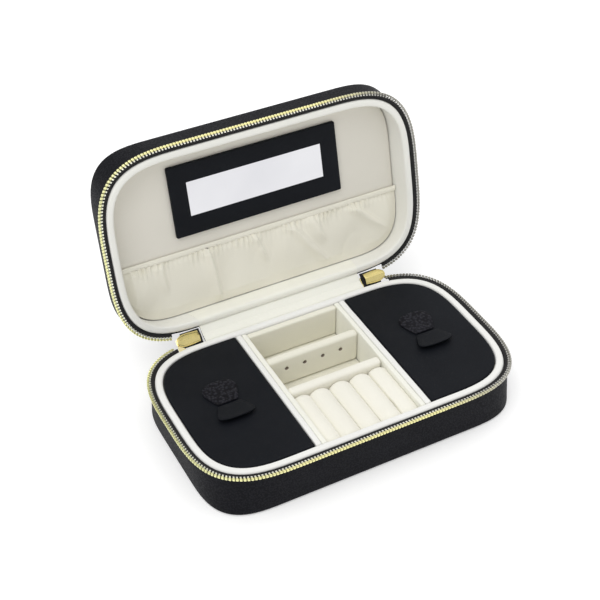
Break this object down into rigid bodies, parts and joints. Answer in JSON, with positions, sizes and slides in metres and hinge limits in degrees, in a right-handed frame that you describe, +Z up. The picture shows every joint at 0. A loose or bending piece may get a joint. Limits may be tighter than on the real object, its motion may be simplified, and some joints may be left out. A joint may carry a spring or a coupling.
{
  "type": "jewelry box",
  "caption": "Zip-around travel jewelry box with a mirror and gathered pocket in its lid, lift-off compartment lids, cells, an earring bar and ring rolls.",
  "frame": {"origin": "centre of the base's flat underside", "axes": "+X along the longer side to the right, +Y towards the hinge, +Z up; the lid stands open"},
  "size_m": [0.185, 0.1545, 0.1305],
  "materials": {
    "pebbled_leather": "matt, pebbled grain",
    "smooth_leather": "matt, fine smooth grain",
    "velvet": "short-pile velvet",
    "pocket_cloth": "soft gathered cloth",
    "shell_board": "plain moulded board",
    "zip_tape": "woven tape",
    "gold_metal": "polished gold plating",
    "mirror_glass": "silvered glass"
  },
  "bodies": {
    "base": {"base_leather": "pebbled_leather", "base_shell": "shell_board", "base_zip_tape": "zip_tape", "base_zip_teeth": "gold_metal", "base_rim": "velvet", "base_floor_pad": "velvet", "left_ledge": "velvet", "right_ledge": "velvet", "left_divider": "velvet", "right_divider": "velvet", "tray_left_wall": "velvet", "tray_right_wall": "velvet", "tray_floor": "velvet", "tray_back_wall": "velvet", "earring_bar": "velvet", "ring_divider": "velvet", "ring_bed": "velvet", "ring_roll_1": "velvet", "ring_roll_2": "velvet", "ring_roll_3": "velvet", "ring_roll_4": "velvet", "ring_roll_5": "velvet", "spine_leather": "pebbled_leather", "hinge_lining": "velvet"},
    "lid": {"lid_leather": "pebbled_leather", "lid_shell": "shell_board", "lid_zip_tape": "zip_tape", "lid_zip_teeth": "gold_metal", "lid_rim": "velvet", "lid_back_pad": "velvet", "mirror_frame": "smooth_leather", "mirror": "mirror_glass", "pocket": "pocket_cloth", "pocket_hem": "pocket_cloth"},
    "left_zip_end": {"left_tape_end": "zip_tape", "left_zip_stop": "gold_metal"},
    "left_slider": {"left_slider": "gold_metal"},
    "left_pull": {"left_pull": "gold_metal"},
    "left_panel": {"left_panel": "smooth_leather", "left_tab_patch": "pebbled_leather"},
    "left_tab": {"left_tab_tongue": "smooth_leather"},
    "right_zip_end": {"right_tape_end": "zip_tape", "right_zip_stop": "gold_metal"},
    "right_slider": {"right_slider": "gold_metal"},
    "right_pull": {"right_pull": "gold_metal"},
    "right_panel": {"right_panel": "smooth_leather", "right_tab_patch": "pebbled_leather"},
    "right_tab": {"right_tab_tongue": "smooth_leather"}
  },
  "joints": [
    {"name": "lid_hinge", "type": "hinge", "parent": "base", "child": "lid", "pos_m": [0, 0.0547, 0.02535], "axis": [-1, 0, 0], "range_deg": [-103.9, 0], "deforming": ["spine_leather", "hinge_lining"]},
    {"name": "left_zip_swivel", "type": "hinge", "parent": "base", "child": "left_zip_end", "pos_m": [0, 0.0547, 0.02535], "axis": [-1, 0, 0], "range_deg": [-51.95, 0]},
    {"name": "left_slider_travel", "type": "slide", "parent": "left_zip_end", "child": "left_slider", "axis": [-1, 0, 0], "range_m": [0, 0.005]},
    {"name": "left_pull_swing", "type": "hinge", "parent": "left_slider", "child": "left_pull", "pos_m": [-0.057, 0.05581, 0.02393], "axis": [0, 0.7875, 0.6163], "range_deg": [-60, 60]},
    {"name": "left_panel_lift", "type": "slide", "parent": "base", "child": "left_panel", "axis": [0, 0, 1], "range_m": [0, 0.115]},
    {"name": "left_tab_flip", "type": "hinge", "parent": "left_panel", "child": "left_tab", "pos_m": [-0.0583, 0, 0.0259], "axis": [-1, 0, 0], "range_deg": [0, 95]},
    {"name": "right_zip_swivel", "type": "hinge", "parent": "base", "child": "right_zip_end", "pos_m": [0, 0.0547, 0.02535], "axis": [-1, 0, 0], "range_deg": [-51.95, 0]},
    {"name": "right_slider_travel", "type": "slide", "parent": "right_zip_end", "child": "right_slider", "axis": [1, 0, 0], "range_m": [0, 0.005]},
    {"name": "right_pull_swing", "type": "hinge", "parent": "right_slider", "child": "right_pull", "pos_m": [0.057, 0.05581, 0.02393], "axis": [0, 0.7875, 0.6163], "range_deg": [-60, 60]},
    {"name": "right_panel_lift", "type": "slide", "parent": "base", "child": "right_panel", "axis": [0, 0, 1], "range_m": [0, 0.115]},
    {"name": "right_tab_flip", "type": "hinge", "parent": "right_panel", "child": "right_tab", "pos_m": [0.0583, 0, 0.0259], "axis": [-1, 0, 0], "range_deg": [0, 95]}
  ],
  "couplings": [
    {"joint": "left_zip_swivel", "follows": "lid_hinge", "ratio": 0.5},
    {"joint": "right_zip_swivel", "follows": "lid_hinge", "ratio": 0.5}
  ]
}
